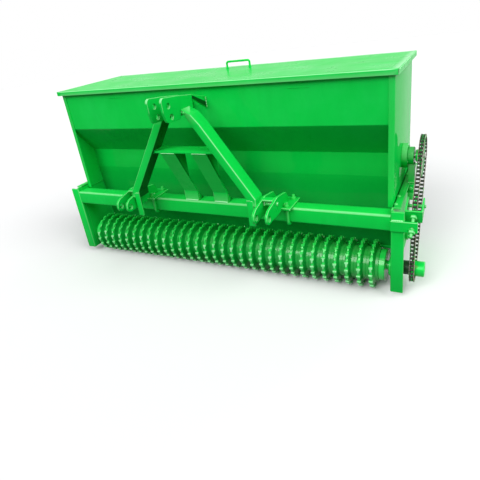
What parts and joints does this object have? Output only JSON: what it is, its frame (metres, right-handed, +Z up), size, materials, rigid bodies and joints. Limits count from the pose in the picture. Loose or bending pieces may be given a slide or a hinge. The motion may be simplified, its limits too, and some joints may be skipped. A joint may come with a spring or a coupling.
{
  "type": "mounted seed drill",
  "caption": "Tractor-mounted drill for fine seed: long lidded hopper on a frame with two toothed-ring rollers, a three-point hitch mast and a chain drive to the metering shaft.",
  "frame": {"origin": "centre of the bounding box at the ground, under the rollers", "axes": "+X along the hopper to the chain drive's end, +Y away from the tractor, +Z up"},
  "size_m": [2.116, 0.929, 1.1],
  "materials": {
    "green_paint": "gloss",
    "painted_rings": "satin",
    "dark_iron": "satin",
    "oiled_steel": "satin",
    "bare_steel": "satin"
  },
  "bodies": {
    "frame": {"front_beam": "green_paint", "rear_beam": "green_paint", "side_plate_right": "green_paint", "side_plate_left": "green_paint", "hopper_front": "green_paint", "hopper_rear": "green_paint", "hopper_end_right": "green_paint", "hopper_end_left": "green_paint", "hopper_floor": "green_paint", "seed_cups": "dark_iron", "lid_hinge_leaves": "green_paint", "mast_leg_right": "green_paint", "mast_leg_left": "green_paint", "mast_ears": "green_paint", "mast_crossbar": "green_paint", "mast_braces": "green_paint", "clevis_right": "green_paint", "clevis_left": "green_paint", "clamps_right": "green_paint", "clamps_left": "green_paint", "hub_right": "green_paint", "hub_left": "green_paint", "hub_support": "green_paint", "tensioner_bar": "green_paint", "tensioner_yoke": "green_paint", "drive_chain": "oiled_steel", "bearings_front": "dark_iron", "bearings_rear": "dark_iron", "scraper_bar": "green_paint"},
    "lid": {"lid_panel": "green_paint", "lid_lips": "green_paint", "lid_handle": "green_paint"},
    "front_roller": {"front_rings": "painted_rings", "front_shaft": "dark_iron", "roller_sprocket": "oiled_steel"},
    "rear_roller": {"rear_rings": "painted_rings", "rear_shaft": "dark_iron"},
    "metering": {"metering_shaft": "bare_steel", "metering_sprocket": "oiled_steel"},
    "idler": {"idler_sprocket": "oiled_steel"}
  },
  "joints": [
    {"name": "lid_hinge", "type": "hinge", "parent": "frame", "child": "lid", "pos_m": [-0.042, -0.1155, 1.037], "axis": [1, 0, 0], "range_deg": [0, 95]},
    {"name": "front_roller_turn", "type": "hinge", "parent": "frame", "child": "front_roller", "pos_m": [-0.042, -0.0915, 0.121], "axis": [1, 0, 0], "continuous": true},
    {"name": "rear_roller_turn", "type": "hinge", "parent": "frame", "child": "rear_roller", "pos_m": [-0.042, 0.3215, 0.105], "axis": [1, 0, 0], "continuous": true},
    {"name": "metering_turn", "type": "hinge", "parent": "frame", "child": "metering", "pos_m": [-0.042, 0.1695, 0.6], "axis": [1, 0, 0], "continuous": true},
    {"name": "idler_turn", "type": "hinge", "parent": "frame", "child": "idler", "pos_m": [-0.042, -0.05384, 0.43235], "axis": [1, 0, 0], "continuous": true}
  ],
  "couplings": [
    {"joint": "metering_turn", "follows": "front_roller_turn", "ratio": 0.59375},
    {"joint": "idler_turn", "follows": "front_roller_turn", "ratio": 1.2667}
  ]
}
